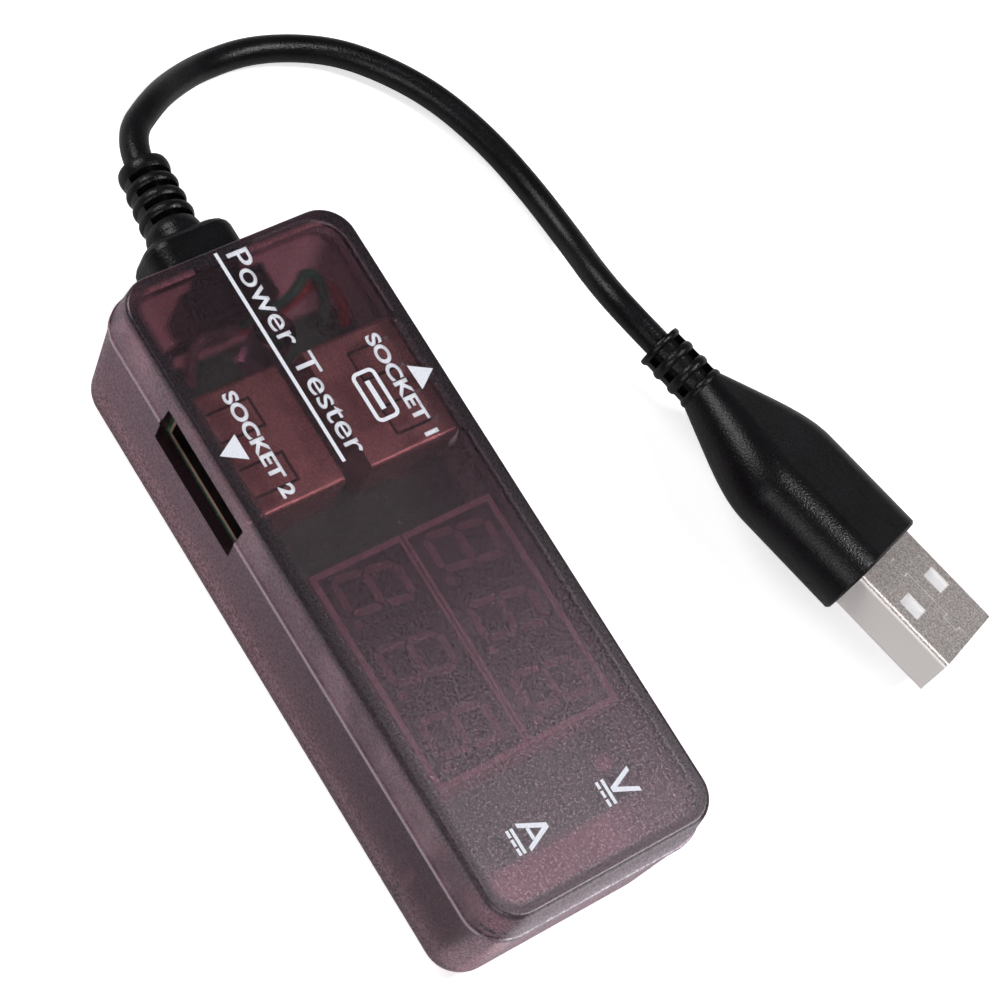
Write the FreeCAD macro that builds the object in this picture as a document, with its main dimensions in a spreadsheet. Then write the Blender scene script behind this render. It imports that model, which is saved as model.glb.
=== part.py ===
import FreeCAD, Part
import math
import os
import Sketcher
from types import SimpleNamespace
from FreeCAD import Placement, Rotation, Vector

# In-line USB voltage and current meter: a translucent two-shell case, 69 x 26 x 19 mm, with two
# USB-A sockets in its long sides, two three-digit displays under the lid, and a short lead that
# ends in a USB-A plug. Millimetres. The origin is at the bottom centre of the case, +X runs from
# the lead's end to the display end, +Y towards socket 1 and +Z up.

doc = FreeCAD.newDocument("usb_power_meter")
sheet = doc.addObject("Spreadsheet::Sheet", "Dimensions")

DIMENSIONS = (
    ("case_length", 69.0),
    ("case_width", 26.0),
    ("case_height", 19.0),
    ("corner_radius", 4.0),
    ("parting_height", 13.7),
    ("joint_gap", 0.2),
    ("ridge_height", 0.7),
    ("ridge_proud", 0.15),
    ("base_inset", 0.9),
    ("lid_inset", 0.6),
    ("base_edge_radius", 2.8),
    ("lid_edge_radius", 0.45),
    ("wall", 1.3),
    ("floor_thickness", 1.6),
    ("lid_thickness", 1.6),
    ("tongue_height", 1.2),
    ("tongue_inset", 0.65),
    ("rebate_inset", 0.6),
    ("slot_centre_x", -15.5),
    ("slot_length", 13.2),
    ("slot_bottom", 11.05),
    ("slot_top", 16.4),
    ("board_bottom", 9.7),
    ("board_thickness", 1.2),
    ("board_start_x", -27.2),
    ("board_end_x", 28.0),
    ("board_width", 22.4),
    ("post_radius", 1.5),
    ("front_post_x", 24.0),
    ("front_post_y", 8.6),
    ("rear_post_x", -24.6),
    ("rear_post_radius", 2.0),
    ("stake_radius", 0.7),
    ("stake_length", 1.6),
    ("relief_height", 10.5),
    ("notch_width", 6.2),
    ("notch_depth", 6.2),
    ("socket_width", 13.1),
    ("socket_depth", 9.7),
    ("socket_height", 5.7),
    ("socket_back", 1.5),
    ("sheet_thickness", 0.3),
    ("finger_inner", 1.5),
    ("finger_outer", 4.5),
    ("display_centre_x", 9.15),
    ("display_length", 22.6),
    ("display_width", 10.0),
    ("display_height", 6.1),
    ("display_offset_y", 5.1),
    ("digit_height", 7.1),
    ("digit_width", 4.3),
    ("digit_pitch", 7.5),
    ("segment_width", 0.75),
    ("segment_depth", 0.5),
    ("pin_pitch", 2.54),
    ("pin_row_spacing", 7.62),
    ("pin_width", 0.5),
    ("cord_diameter", 2.9),
    ("wire_diameter", 1.1),
    ("collar_width", 9.6),
    ("collar_height", 7.8),
    ("collar_length", 4.55),
    ("relief_length", 9.2),
    ("relief_root_radius", 2.8),
    ("relief_tip_radius", 2.5),
    ("relief_heading", 11.0),
    ("relief_droop", 10.0),
    ("grip_width", 15.2),
    ("grip_thickness", 8.2),
    ("grip_length", 14.4),
    ("taper_length", 9.8),
    ("plug_relief_length", 6.4),
    ("plug_relief_radius", 2.5),
    ("plug_width", 12.0),
    ("plug_thickness", 4.5),
    ("plug_exposed", 12.0),
    ("plug_buried", 5.0),
    ("plug_window_length", 2.5),
    ("plug_window_width", 2.25),
    ("plug_window_spacing", 6.3),
    ("plug_root_x", 18.2),
    ("plug_root_y", 49.5),
    ("plug_root_height", 5.45),
    ("plug_heading", 14.4),
    ("plug_tilt", 2.0),
    ("plug_roll", -21.0),
)


class Size:
    """A length: its present value in mm, and the same length written as a sheet expression."""

    def __init__(self, value, text):
        self.value = float(value)
        self.text = text

    @staticmethod
    def of(other):
        return other if isinstance(other, Size) else Size(other, repr(float(other)))

    def join(self, other, sign, value):
        return Size(value, "(" + self.text + " " + sign + " " + other.text + ")")

    def __add__(self, other):
        other = Size.of(other)
        return self.join(other, "+", self.value + other.value)

    def __radd__(self, other):
        return Size.of(other) + self

    def __sub__(self, other):
        other = Size.of(other)
        return self.join(other, "-", self.value - other.value)

    def __rsub__(self, other):
        return Size.of(other) - self

    def __mul__(self, other):
        other = Size.of(other)
        return self.join(other, "*", self.value * other.value)

    def __rmul__(self, other):
        return Size.of(other) * self

    def __truediv__(self, other):
        other = Size.of(other)
        return self.join(other, "/", self.value / other.value)


def fill_sheet():
    """Write the driving dimensions, and return them as sizes under their own names."""
    sizes = {}
    for row, (name, value) in enumerate(DIMENSIONS, start=1):
        sheet.set("A%d" % row, name)
        sheet.set("B%d" % row, str(value))
        sheet.setAlias("B%d" % row, name)
        sizes[name] = Size(value, "Dimensions." + name)
    doc.recompute()
    return SimpleNamespace(**sizes)


D = fill_sheet()
BOARD_TOP = D.board_bottom + D.board_thickness
LID_INSIDE = D.case_height - D.lid_thickness
BOARD_LENGTH = D.board_end_x - D.board_start_x
BOARD_CENTRE_X = (D.board_start_x + D.board_end_x) / 2
NODES = []


def node(shape_object, name):
    """Give a finished sub-part its label, and list it for export."""
    shape_object.Label = name
    NODES.append(shape_object)
    return shape_object


# ---------------------------------------------------------------- sketches and features

def new_body(name):
    return doc.addObject("PartDesign::Body", name + "_body")


def sketch_on(body, name, role, offset):
    """An empty sketch on one of the body's own origin planes, moved along the plane's normal."""
    plane = [item for item in body.Origin.OriginFeatures if item.Role == role][0]
    sketch = body.newObject("Sketcher::SketchObject", name)
    sketch.AttachmentSupport = [(plane, "")]
    sketch.MapMode = "FlatFace"
    sketch.AttachmentOffset = Placement(Vector(0, 0, Size.of(offset).value), Rotation())
    sketch.setExpression(".AttachmentOffset.Base.z", Size.of(offset).text)
    return sketch


def dimension(sketch, kind, places, size):
    """Add a driving constraint whose value follows the sheet."""
    index = sketch.addConstraint(Sketcher.Constraint(kind, *places, size.value))
    sketch.setExpression("Constraints[%d]" % index, size.text)


def rounded_rectangle(sketch, length, width, radius, centre_x=0.0, centre_y=0.0):
    """A rectangle with round corners. Its sides and centre follow the sheet."""
    length, width, radius, centre_x, centre_y = map(Size.of, (length, width, radius, centre_x, centre_y))
    x, y, r = centre_x.value, centre_y.value, radius.value
    half_l, half_w = length.value / 2, width.value / 2
    corners = ((1, -1, -90), (1, 1, 0), (-1, 1, 90), (-1, -1, 180))
    first = sketch.GeometryCount
    for sign_x, sign_y, angle in corners:
        centre = Vector(x + sign_x * (half_l - r), y + sign_y * (half_w - r), 0)
        circle = Part.Circle(centre, Vector(0, 0, 1), r)
        start = math.radians(angle)
        sketch.addGeometry(Part.ArcOfCircle(circle, start, start + math.pi / 2))
    for index in range(4):
        start = sketch.getPoint(first + index, 2)
        end = sketch.getPoint(first + (index + 1) % 4, 1)
        sketch.addGeometry(Part.LineSegment(start, end))
        line = first + 4 + index
        sketch.addConstraint(Sketcher.Constraint("Tangent", first + index, 2, line, 1))
        sketch.addConstraint(Sketcher.Constraint("Tangent", line, 2, first + (index + 1) % 4, 1))
    right, top, left, bottom = (first + 4, first + 5, first + 6, first + 7)
    for line in (right, left):
        sketch.addConstraint(Sketcher.Constraint("Vertical", line))
    for line in (top, bottom):
        sketch.addConstraint(Sketcher.Constraint("Horizontal", line))
    for index in range(1, 4):
        sketch.addConstraint(Sketcher.Constraint("Equal", first, first + index))
    dimension(sketch, "Radius", (first,), radius)
    dimension(sketch, "DistanceX", (-1, 1, right, 1), centre_x + length / 2)
    dimension(sketch, "DistanceX", (left, 1, right, 1), length)
    dimension(sketch, "DistanceY", (-1, 1, top, 1), centre_y + width / 2)
    dimension(sketch, "DistanceY", (bottom, 1, top, 1), width)


def circle(sketch, radius, centre_x, centre_y):
    """A circle whose radius and centre follow the sheet."""
    radius, centre_x, centre_y = map(Size.of, (radius, centre_x, centre_y))
    centre = Vector(centre_x.value, centre_y.value, 0)
    index = sketch.addGeometry(Part.Circle(centre, Vector(0, 0, 1), radius.value))
    dimension(sketch, "Radius", (index,), radius)
    dimension(sketch, "DistanceX", (-1, 1, index, 3), centre_x)
    dimension(sketch, "DistanceY", (-1, 1, index, 3), centre_y)


def loft(body, kind, sketches, ruled=True):
    """An AdditiveLoft or SubtractiveLoft through the sketches in turn."""
    feature = body.newObject("PartDesign::" + kind, kind.lower())
    feature.Profile = sketches[0]
    feature.Sections = sketches[1:]
    feature.Ruled = ruled
    doc.recompute()
    return feature


def pad(body, sketch, length, down=False):
    feature = body.newObject("PartDesign::Pad", "pad")
    feature.Profile = sketch
    feature.setExpression("Length", Size.of(length).text)
    feature.Reversed = down
    doc.recompute()
    return feature


def pocket(body, sketch, length, along_normal=False, both_ways=False):
    """Cut the sketch out of the body, and make sure that it did cut."""
    before = body.Shape.Volume
    feature = body.newObject("PartDesign::Pocket", "pocket")
    feature.Profile = sketch
    feature.setExpression("Length", Size.of(length).text)
    feature.Reversed = along_normal
    feature.Midplane = both_ways
    doc.recompute()
    if body.Shape.Volume > before - 0.1:
        raise ValueError(sketch.Name + " cuts nothing")
    return feature


def fillet_edges_at(body, height, radius, inside):
    """Round the edges that lie at one height, around the outside or around the cavity."""
    feature_below = body.Tip
    limit = D.case_width.value / 2 - D.base_inset.value - D.wall.value / 2
    names = []
    for index, edge in enumerate(feature_below.Shape.Edges, start=1):
        box = edge.BoundBox
        level = abs(box.ZMin - height.value) < 1e-4 and abs(box.ZMax - height.value) < 1e-4
        reach_y = max(abs(box.YMin), abs(box.YMax))
        reach_x = max(abs(box.XMin), abs(box.XMax)) - (D.case_length.value - D.case_width.value) / 2
        outer = max(reach_x, reach_y) > limit
        if level and outer != inside:
            names.append("Edge%d" % index)
    feature = body.newObject("PartDesign::Fillet", "fillet")
    feature.Base = (feature_below, names)
    feature.setExpression("Radius", radius.text)
    doc.recompute()
    return feature


# ---------------------------------------------------------------- primitives

def box(x_range, y_range, z_range, name="box"):
    """A Part::Box between sheet-driven limits on each axis."""
    solid = doc.addObject("Part::Box", name)
    for axis, side, (low, high) in zip("xyz", ("Length", "Width", "Height"), (x_range, y_range, z_range)):
        low, high = Size.of(low), Size.of(high)
        solid.setExpression(side, (high - low).text)
        solid.setExpression(".Placement.Base." + axis, low.text)
    return solid


def rounded_box(x_range, y_range, z_range, axis, radius):
    """A box whose four edges along one axis are rounded."""
    plain = box(x_range, y_range, z_range)
    doc.recompute()
    spans = [edge.BoundBox for edge in plain.Shape.Edges]
    lengths = [{"x": span.XLength, "y": span.YLength}[axis] for span in spans]
    rounded = doc.addObject("Part::Fillet", "rounded_box")
    rounded.Base = plain
    chosen = [index for index, length in enumerate(lengths, start=1) if length > 1e-3]
    rounded.Edges = [(index, radius, radius) for index in chosen]
    return rounded


def about(centre, length):
    """The two limits of a span of this length about its centre."""
    return (Size.of(centre) - Size.of(length) / 2, Size.of(centre) + Size.of(length) / 2)


def fuse(shapes, name="fuse"):
    result = doc.addObject("Part::MultiFuse", name)
    result.Shapes = shapes
    return result


def cut(base, tool, name="cut"):
    result = doc.addObject("Part::Cut", name)
    result.Base = base
    result.Tool = tool
    return result


def group(shapes, name="group"):
    """Separate solids that share one node."""
    result = doc.addObject("Part::Compound", name)
    result.Links = shapes
    return result


def feature_of(shape, name):
    result = doc.addObject("Part::Feature", name)
    result.Shape = shape
    return result


# ---------------------------------------------------------------- case

def slot_cut(body, name):
    """The socket slots, straight through both long walls."""
    sketch = sketch_on(body, name, "XZ_Plane", 0.0)
    rounded_rectangle(sketch, D.slot_length, D.slot_top - D.slot_bottom, 0.25,
                      D.slot_centre_x, (D.slot_top + D.slot_bottom) / 2)
    pocket(body, sketch, D.case_width + 4, both_ways=True)


def case_outline(body, name, height, inset, radius_inset=None):
    """The case's plan at one height, moved in by the inset on every side."""
    sketch = sketch_on(body, name, "XY_Plane", height)
    radius = D.corner_radius - (Size.of(inset) if radius_inset is None else radius_inset)
    rounded_rectangle(sketch, D.case_length - 2 * Size.of(inset), D.case_width - 2 * Size.of(inset), radius)
    return sketch


def make_bottom_shell():
    body = new_body("bottom_shell")
    skin = D.ridge_proud
    base = case_outline(body, "base_plan", 0.0, D.base_inset, D.base_inset / 2)
    top = case_outline(body, "parting_plan", D.parting_height, skin)
    loft(body, "AdditiveLoft", [base, top])
    floor_plan = case_outline(body, "floor_plan", D.floor_thickness, D.base_inset + D.wall)
    mouth_plan = case_outline(body, "mouth_plan", D.parting_height, D.wall)
    loft(body, "SubtractiveLoft", [floor_plan, mouth_plan])
    fillet_edges_at(body, Size.of(0.0), D.base_edge_radius, inside=False)
    fillet_edges_at(body, D.floor_thickness, D.wall, inside=True)

    tongue = case_outline(body, "tongue_plan", D.parting_height - 0.01, D.tongue_inset)
    inner_length, inner_width = D.case_length - 2 * D.wall, D.case_width - 2 * D.wall
    rounded_rectangle(tongue, inner_length, inner_width, D.corner_radius - D.wall)
    pad(body, tongue, D.tongue_height)

    posts = sketch_on(body, "post_plan", "XY_Plane", D.floor_thickness - 0.2)
    circle(posts, D.post_radius, D.front_post_x, D.front_post_y)
    circle(posts, D.post_radius, D.front_post_x, 0.0 - D.front_post_y)
    circle(posts, D.rear_post_radius, D.rear_post_x, 0.0)
    pad(body, posts, D.board_bottom - D.floor_thickness + 0.2)
    gussets = sketch_on(body, "gusset_plan", "XY_Plane", D.floor_thickness - 0.2)
    for side in (1, -1):
        middle = side * (D.front_post_y + D.post_radius + 0.3)
        rounded_rectangle(gussets, 1.2, 2.2, 0.1, D.front_post_x, middle)
    pad(body, gussets, D.board_bottom - D.floor_thickness - 0.4)
    stakes = sketch_on(body, "stake_plan", "XY_Plane", D.board_bottom - 0.1)
    circle(stakes, D.stake_radius, D.front_post_x, D.front_post_y)
    circle(stakes, D.stake_radius, D.front_post_x, 0.0 - D.front_post_y)
    circle(stakes, D.stake_radius, D.rear_post_x, 0.0)
    pad(body, stakes, D.stake_length + 0.1)

    slot_cut(body, "slot_section")
    notch = sketch_on(body, "notch_section", "YZ_Plane", 0.0 - D.case_length / 2 - 1)
    notch_bottom = D.relief_height - D.notch_depth / 2
    notch_height = D.notch_depth + 3
    rounded_rectangle(notch, D.notch_width, notch_height, 1.2, 0.0, notch_bottom + notch_height / 2)
    pocket(body, notch, D.wall + 2.2, along_normal=True)
    return node(body, "bottom_shell")


def make_top_shell():
    body = new_body("top_shell")
    start = D.parting_height + D.joint_gap
    ridge = case_outline(body, "ridge_plan", start, 0.0)
    pad(body, ridge, D.ridge_height)
    lower = case_outline(body, "wall_plan", start + D.ridge_height - 0.05, D.ridge_proud)
    upper = case_outline(body, "lid_plan", D.case_height, D.lid_inset)
    loft(body, "AdditiveLoft", [lower, upper])
    fillet_edges_at(body, D.case_height, D.lid_edge_radius, inside=False)
    mouth = case_outline(body, "mouth_plan", start, D.wall)
    roof = case_outline(body, "roof_plan", LID_INSIDE, D.wall + D.lid_inset)
    loft(body, "SubtractiveLoft", [mouth, roof])
    rebate = case_outline(body, "rebate_plan", start, D.rebate_inset)
    pocket(body, rebate, D.tongue_height - D.joint_gap - 0.01, along_normal=True)
    boss = sketch_on(body, "boss_plan", "XY_Plane", LID_INSIDE + 0.1)
    circle(boss, D.rear_post_radius, D.rear_post_x, 0.0)
    pad(body, boss, LID_INSIDE + 0.1 - (BOARD_TOP + 0.5), down=True)
    slot_cut(body, "slot_section")
    return node(body, "top_shell")


# ---------------------------------------------------------------- circuit board

def pin_places(centre_y):
    """Centres of a display's twelve pins, in two rows."""
    places = []
    for row in (-1, 1):
        for step in range(6):
            x = D.display_centre_x + D.pin_pitch * (step - 2.5)
            places.append((x, centre_y + row * D.pin_row_spacing / 2))
    return places


CONTACT_OFFSETS = (-3.5, -1.0, 1.0, 3.5)
TAIL_OFFSET_Y = 2.55
LEG_OFFSET_Y = 7.0
LEG_WIDTH = 2.0
PIN_HOLE_RADIUS = 0.45


def make_circuit_board():
    body = new_body("circuit_board")
    outline = sketch_on(body, "board_outline", "XY_Plane", D.board_bottom)
    rounded_rectangle(outline, BOARD_LENGTH, D.board_width, 2.6, BOARD_CENTRE_X, 0.0)
    pad(body, outline, D.board_thickness)

    holes = sketch_on(body, "drilled_holes", "XY_Plane", D.board_bottom)
    circle(holes, D.stake_radius + 0.1, D.rear_post_x, 0.0)
    for side in (1, -1):
        circle(holes, D.stake_radius + 0.1, D.front_post_x, side * D.front_post_y)
        for x, y in pin_places(side * D.display_offset_y):
            circle(holes, PIN_HOLE_RADIUS, x, y)
        for offset in CONTACT_OFFSETS:
            circle(holes, PIN_HOLE_RADIUS, D.slot_centre_x + offset, side * TAIL_OFFSET_Y)
    pocket(body, holes, D.board_thickness, along_normal=True)

    slots = sketch_on(body, "leg_slots", "XY_Plane", D.board_bottom)
    leg_x = (D.socket_width - D.sheet_thickness) / 2
    for side_x in (1, -1):
        for side_y in (1, -1):
            rounded_rectangle(slots, 0.7, LEG_WIDTH + 0.4, 0.3,
                              D.slot_centre_x + side_x * leg_x, side_y * LEG_OFFSET_Y)
    pocket(body, slots, D.board_thickness, along_normal=True)
    return node(body, "circuit_board")


def under_board(x, y, length, width, height):
    """A block that hangs from the board's underside."""
    return box(about(x, length), about(y, width), (D.board_bottom - height, D.board_bottom))


CHIP_X = -5.5
CHIP_PINS = 8
CHIP_PIN_PITCH = 1.27
CHIP_PIN_WIDTH = 0.42


def make_microcontroller():
    """A small-outline chip with bent leads, hung from the board's underside."""
    surface = D.board_bottom
    chip = box(about(CHIP_X, 3.9), about(0.0, 9.9), (surface - 1.75, surface - 0.15))
    leads = []
    for side in (1, -1):
        for step in range(CHIP_PINS):
            y_range = about(CHIP_PIN_PITCH * (step - (CHIP_PINS - 1) / 2), CHIP_PIN_WIDTH)
            leads.append(box(about(CHIP_X + side * 2.2, 0.7), y_range, (surface - 1.0, surface - 0.8)))
            leads.append(box(about(CHIP_X + side * 2.45, 0.2), y_range, (surface - 1.0, surface)))
            leads.append(box(about(CHIP_X + side * 2.7, 0.8), y_range, (surface - 0.2, surface)))
    node(fuse([chip] + leads), "microcontroller")


def make_board_components():
    make_microcontroller()
    regulator = under_board(CHIP_X, 7.9, 4.5, 2.5, 1.5)
    tabs = [under_board(CHIP_X + offset, 6.3, 0.5, 0.9, 0.4) for offset in (-1.5, 0.0, 1.5)]
    tabs.append(under_board(CHIP_X, 9.4, 1.8, 0.7, 0.4))
    node(fuse([regulator] + tabs), "voltage_regulator")

    node(under_board(D.slot_centre_x, -7.6, 6.4, 3.2, 0.7), "shunt_resistor")
    capacitor_places = ((-18.2, 7.4), (-12.8, 7.4), (CHIP_X, -7.6), (25.2, 0.0))
    capacitors = [under_board(x, y, 3.2, 1.6, 1.2) for x, y in capacitor_places]
    node(group(capacitors), "ceramic_capacitors")
    resistors = []
    for side in (1, -1):
        for step in range(6):
            x = D.display_centre_x + 2.4 * (step - 2.5)
            resistors.append(under_board(x, side * D.display_offset_y, 1.25, 2.0, 0.5))
    node(group(resistors), "chip_resistors")


# ---------------------------------------------------------------- USB-A sockets

# Each socket is built about its own middle, with X across it, Y out of its mouth and Z up from the
# board, and is then turned to its side of the case.
FINGER_LINE = 0.3
TONGUE_LOW = 3.05
TONGUE_HIGH = 4.9
CONTACT_THICKNESS = 0.25
CONTACT_TIP = 9.3
CARRIER_FRONT = 4.2
SOCKET_FOLD_RADIUS = 0.5


def seat_socket(part, side):
    """Turn a socket's piece to its side of the case and set it on the board."""
    part.Placement = Placement(Vector(D.slot_centre_x.value, 0, BOARD_TOP.value),
                               Rotation(Vector(0, 0, 1), 0 if side > 0 else 180))
    part.setExpression(".Placement.Base.x", D.slot_centre_x.text)
    part.setExpression(".Placement.Base.z", BOARD_TOP.text)


def make_socket_shell():
    """The folded sheet: a sleeve with two spring fingers cut in its top, and two legs."""
    half = D.socket_width / 2
    gauge = D.sheet_thickness
    mouth = D.socket_back + D.socket_depth
    top = D.socket_height
    sleeve = rounded_box((0 - half, half), (D.socket_back, mouth), (0.0, top), "y", SOCKET_FOLD_RADIUS)
    leg_span = about(LEG_OFFSET_Y, LEG_WIDTH)
    legs = [box((half - gauge, half), leg_span, (-2.0, SOCKET_FOLD_RADIUS)),
            box((0 - half, gauge - half), leg_span, (-2.0, SOCKET_FOLD_RADIUS))]
    hollow = box((gauge - half, half - gauge), (D.socket_back + gauge, mouth + 1), (gauge, top - gauge))
    tail_opening = box((-4.6, 4.6), (D.socket_back - 0.5, CARRIER_FRONT), (-0.5, gauge + 0.2))
    cuts = [hollow, tail_opening]
    root = mouth - 1.0
    tip = mouth - 5.8
    through_top = (top - gauge - 0.1, top + 0.1)
    for sign in (1, -1):
        for line in (D.finger_inner, D.finger_outer):
            cuts.append(box(about(sign * line, FINGER_LINE), (tip, root), through_top))
        centre = sign * (D.finger_inner + D.finger_outer) / 2
        width = D.finger_outer - D.finger_inner
        cuts.append(box(about(centre, width), (tip, tip + FINGER_LINE), through_top))
    return cut(fuse([sleeve] + legs), fuse(cuts))


def contact_strip(offset):
    """One spring contact along the tongue's underside, and its tail down through the board."""
    strip = box(about(offset, 1.0), (TAIL_OFFSET_Y - 0.125, CONTACT_TIP),
                (TONGUE_LOW - CONTACT_THICKNESS, TONGUE_LOW))
    tail = box(about(offset, 0.6), about(TAIL_OFFSET_Y, 0.25), (-2.0, TONGUE_LOW))
    return fuse([strip, tail])


def make_socket(number, side):
    half = D.socket_width / 2
    gauge = D.sheet_thickness
    mouth = D.socket_back + D.socket_depth
    name = "socket_%d_" % number
    shell = make_socket_shell()
    contacts = group([contact_strip(offset) for offset in CONTACT_OFFSETS])
    carrier = box((gauge - half, half - gauge), (D.socket_back + gauge, CARRIER_FRONT),
                  (gauge, D.socket_height - gauge))
    tongue = box((-5.55, 5.55), (CARRIER_FRONT - 0.2, mouth - 1.4), (TONGUE_LOW, TONGUE_HIGH))
    insulator = cut(fuse([carrier, tongue]), fuse([contact_strip(offset) for offset in CONTACT_OFFSETS]))
    for part, kind in ((shell, "shell"), (contacts, "contacts"), (insulator, "insulator")):
        seat_socket(part, side)
        node(part, name + kind)


# ---------------------------------------------------------------- displays

SLANT = math.tan(math.radians(8))
SEGMENT_GAP = 0.12
DOT_RADIUS = 0.45
DOT_SPACING = 1.15
DOT_ROOM = 0.4


def segment(start, end, top):
    """One lozenge-ended segment between two points of the digit's skeleton."""
    half = D.segment_width.value / 2
    along = (end - start).normalize()
    across = Vector(-along.y, along.x, 0) * half
    tip_a = start + along * SEGMENT_GAP
    tip_b = end - along * SEGMENT_GAP
    outline = [tip_a, tip_a + along * half + across, tip_b - along * half + across,
               tip_b, tip_b - along * half - across, tip_a + along * half - across]
    outline = [Vector(p.x + SLANT * p.y, p.y, top - D.segment_depth.value) for p in outline]
    face = Part.Face(Part.makePolygon(outline + outline[:1]))
    return face.extrude(Vector(0, 0, D.segment_depth.value))


def digit(centre_x, centre_y, top):
    """Seven segments and a decimal point, upright along +Y."""
    width = (D.digit_width - D.segment_width).value / 2
    height = (D.digit_height - D.segment_width).value / 2
    corners = {(i, j): Vector(i * width, j * height, 0) for i in (-1, 1) for j in (-1, 0, 1)}
    strokes = [((-1, j), (1, j)) for j in (-1, 0, 1)]
    strokes += [((i, j), (i, j + 1)) for i in (-1, 1) for j in (-1, 0)]
    solids = [segment(corners[a], corners[b], top) for a, b in strokes]
    dot_centre = Vector(width + DOT_SPACING - SLANT * height, -height, top - D.segment_depth.value)
    solids.append(Part.makeCylinder(DOT_RADIUS, D.segment_depth.value, dot_centre))
    for solid in solids:
        solid.translate(Vector(centre_x, centre_y, 0))
    return solids


def make_display(name, side):
    centre_y = side * D.display_offset_y
    top = BOARD_TOP + D.display_height
    solids = []
    for step in (-1, 0, 1):
        x = D.display_centre_x.value - DOT_ROOM + step * D.digit_pitch.value
        solids += digit(x, centre_y.value, top.value)
    segments = feature_of(Part.makeCompound(solids), name + "_segments")
    case_x = about(D.display_centre_x, D.display_length)
    case = box(case_x, about(centre_y, D.display_width), (BOARD_TOP, top))
    node(cut(case, segments), name + "_case")
    node(segments, name + "_segments")
    pin_span = (D.board_bottom - 1.0, BOARD_TOP)
    width = D.pin_width
    pins = [box(about(x, width), about(y, width), pin_span) for x, y in pin_places(centre_y)]
    node(group(pins), name + "_pins")


# ---------------------------------------------------------------- cord, wires and strain reliefs

def rounded_path(points):
    """Straight runs joined by the largest tangent arcs the runs allow. Returns the wire and the radii."""
    edges = []
    radii = []
    last = points[0]
    for before, corner, after in zip(points, points[1:], points[2:]):
        back = (before - corner).normalize()
        ahead = (after - corner).normalize()
        turn = math.pi - back.getAngle(ahead)
        shorter = min((before - corner).Length, (after - corner).Length)
        setback = 0.45 * shorter
        radius = setback / math.tan(turn / 2)
        radii.append(radius)
        arc_start = corner + back * setback
        arc_end = corner + ahead * setback
        centre = corner + (back + ahead).normalize() * (radius / math.cos(turn / 2))
        middle = centre + (corner - centre).normalize() * radius
        edges.append(Part.LineSegment(last, arc_start).toShape())
        edges.append(Part.Arc(arc_start, middle, arc_end).toShape())
        last = arc_end
    edges.append(Part.LineSegment(last, points[-1]).toShape())
    return Part.Wire(edges), radii


def make_tube(name, points, diameter):
    """A round tube along the path, with its radii and volume printed for checking."""
    path, radii = rounded_path([Vector(*p) for p in points])
    start = path.Edges[0]
    direction = start.tangentAt(start.FirstParameter)
    section = Part.Wire(Part.makeCircle(diameter.value / 2, start.Vertexes[0].Point, direction))
    tube = path.makePipeShell([section], True, False)
    expected = math.pi * (diameter.value / 2) ** 2 * path.Length
    print("%s: length %.2f, volume ratio %.4f, radii %s"
          % (name, path.Length, tube.Volume / expected, " ".join("%.1f" % r for r in radii)))
    return node(feature_of(tube, name), name)


RIB_NECK = 0.15
RIB_BULGE = 0.07
RELIEF_CORE_RADIUS = 1.6


def ribbed_relief(length, root_radius, tip_radius, slot_starts, slot_length, slot_half_width):
    """A tapered bend relief along +Z: slightly bulged ribs, with slots down to the core on two faces."""
    edges = [Part.makeLine(Vector(0, 0, 0), Vector(root_radius, 0, 0))]
    point = Vector(root_radius, 0, 0)

    def radius_at(z):
        return root_radius + (tip_radius - root_radius) * z / length

    levels = []
    for start in slot_starts:
        levels += [start, start + slot_length]
    levels.append(length)
    for index, level in enumerate(levels):
        neck = 0.0 if level == length else RIB_NECK
        target = Vector(radius_at(level) - neck, 0, level)
        if index % 2 == 0:
            middle_z = (point.z + level) / 2
            middle = Vector(radius_at(middle_z) + RIB_BULGE, 0, middle_z)
            edges.append(Part.Arc(point, middle, target).toShape())
        else:
            edges.append(Part.makeLine(point, target))
        point = target
    edges.append(Part.makeLine(point, Vector(0, 0, length)))
    edges.append(Part.makeLine(Vector(0, 0, length), Vector(0, 0, 0)))
    body = Part.Face(Part.Wire(edges)).revolve(Vector(0, 0, 0), Vector(0, 0, 1), 360)
    core = Part.makeCylinder(RELIEF_CORE_RADIUS, length)
    for start in slot_starts:
        slab = Part.makeBox(2 * root_radius + 2, 2 * slot_half_width, slot_length,
                            Vector(-root_radius - 1, -slot_half_width, start))
        body = body.cut(slab.cut(core))
    return body.removeSplitter()


BLOCK_LENGTH = 4.0
BLOCK_WIDTH = 9.3
BLOCK_HEIGHT = 7.2
COLLAR_EDGE = 1.3
COLLAR_RADIUS = 2.4
NECK_CLEARANCE = 0.2


def block_section(x, width, height, radius, centre_z):
    """A rounded rectangular wire across X."""
    half_w, half_h = width / 2 - radius, height / 2 - radius
    edges = []
    corners = ((1, -1, -90), (1, 1, 0), (-1, 1, 90), (-1, -1, 180))
    ends = []
    for sign_y, sign_z, angle in corners:
        centre = Vector(x, sign_y * half_w, centre_z + sign_z * half_h)
        points = []
        for step in (0, 45, 90):
            turn = math.radians(angle + step)
            points.append(centre + Vector(0, math.cos(turn), math.sin(turn)) * radius)
        ends.append((points[0], points[2]))
        edges.append(Part.Arc(*points).toShape())
    loop = []
    for index, edge in enumerate(edges):
        loop.append(edge)
        loop.append(Part.makeLine(ends[index][1], ends[(index + 1) % 4][0]))
    return Part.Wire(loop)


def block_between(start_x, end_x, width, height, radius):
    """A straight rounded block along X, centred on the lead's height."""
    centre_z = D.relief_height.value
    ends = [block_section(x, width, height, radius, centre_z) for x in (start_x, end_x)]
    return Part.makeLoft(ends, True, True)


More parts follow.
